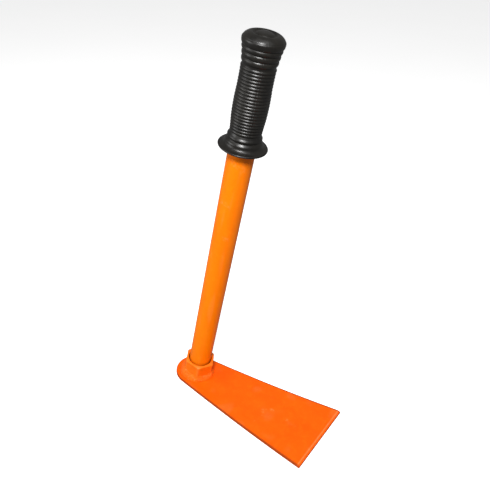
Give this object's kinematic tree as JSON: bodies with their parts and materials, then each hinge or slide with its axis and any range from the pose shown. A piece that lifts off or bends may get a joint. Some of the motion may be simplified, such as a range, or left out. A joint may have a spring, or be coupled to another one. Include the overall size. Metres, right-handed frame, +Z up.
{
  "type": "grub hoe",
  "caption": "Short-handled grub hoe: tapered curved steel blade, hexagonal socket welded to its heel, straight tube handle and a ribbed, flanged moulded grip.",
  "frame": {"origin": "centre of the bounding box at the height of the face that the hoe stands on", "axes": "+Z up with the hoe standing on the underside of its blade, +X along the blade towards the cutting edge, +Y across the blade's width"},
  "size_m": [0.1962, 0.0904, 0.4028],
  "materials": {
    "blade_paint": "semi-gloss orange paint on plate steel",
    "socket_paint": "semi-gloss orange paint on a steel nut",
    "weld_paint": "orange paint over a rippled weld bead",
    "tube_paint": "semi-gloss orange paint on steel tube",
    "grip_rubber": "satin black moulded rubber"
  },
  "bodies": {
    "root": {"blade": "blade_paint", "socket_nut": "socket_paint", "socket_weld": "weld_paint", "handle_tube": "tube_paint", "grip": "grip_rubber"}
  },
  "joints": []
}
